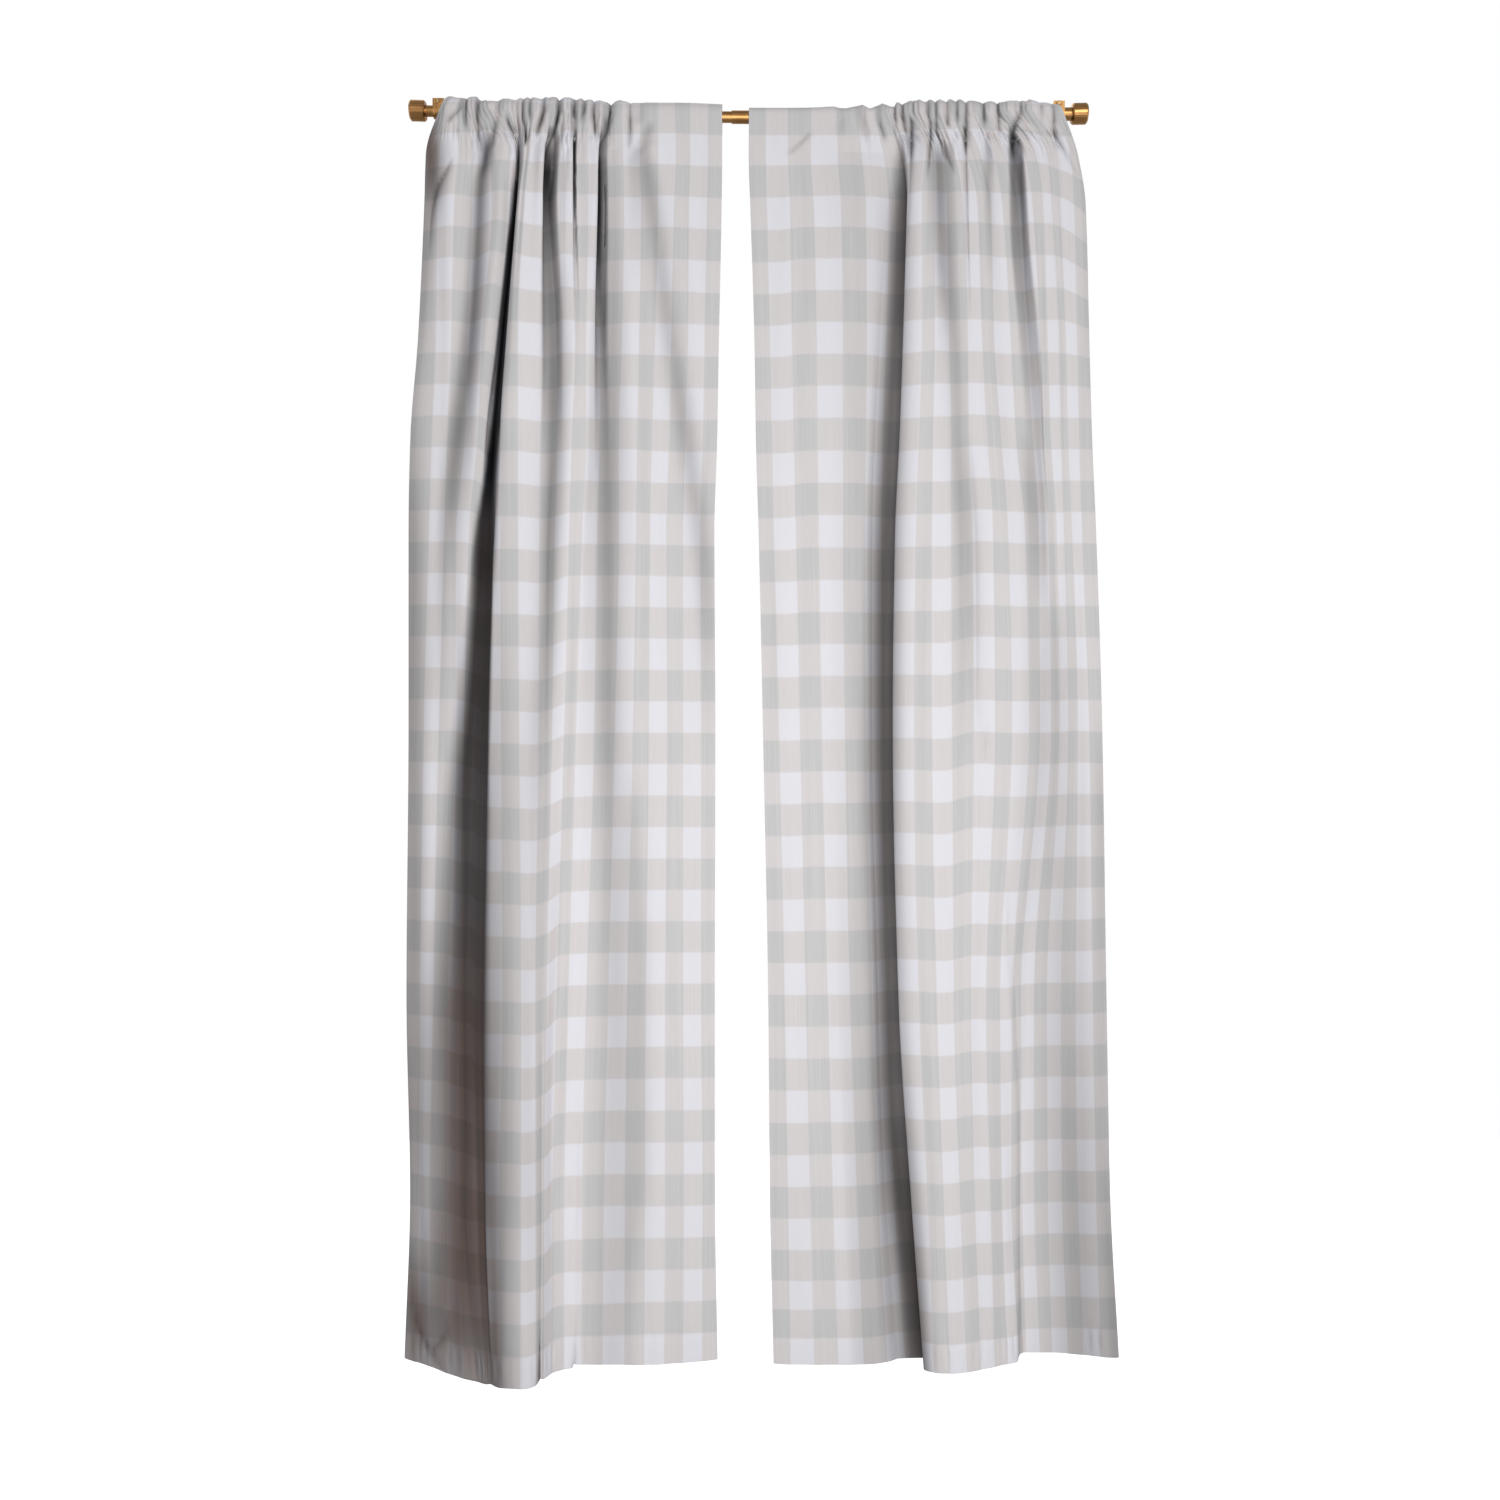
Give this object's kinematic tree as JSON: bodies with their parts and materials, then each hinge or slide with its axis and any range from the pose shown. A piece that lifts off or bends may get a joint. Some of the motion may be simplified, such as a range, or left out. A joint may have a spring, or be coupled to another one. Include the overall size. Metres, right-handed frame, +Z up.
{
  "type": "blackout curtain and curtain rod",
  "caption": "Long check-patterned blackout curtain panels with rod pockets, gathered on a slim telescoping brass rod with drum end caps and wall brackets.",
  "frame": {"origin": "on the wall plane, midway between the brackets, at the mean height of the rod's ends", "axes": "+X along the rod to the viewer's right, +Y into the wall, +Z up; the front of the cloth faces -Y"},
  "size_m": [1.2187, 0.2058, 2.1562],
  "materials": {
    "cloth": "woven check in white and light grey, soft matt with a light back",
    "rod": "warm brushed brass, satin",
    "cap": "warm brushed brass, satin",
    "bracket": "warm brass, satin",
    "screw": "plated screw"
  },
  "bodies": {
    "root": {"left_panel": "cloth", "right_panel": "cloth", "rod_inner": "rod", "rod_outer": "rod", "left_cap": "cap", "right_cap": "cap", "left_bracket": "bracket", "right_bracket": "bracket", "left_screw": "screw", "right_screw": "screw"}
  },
  "joints": []
}
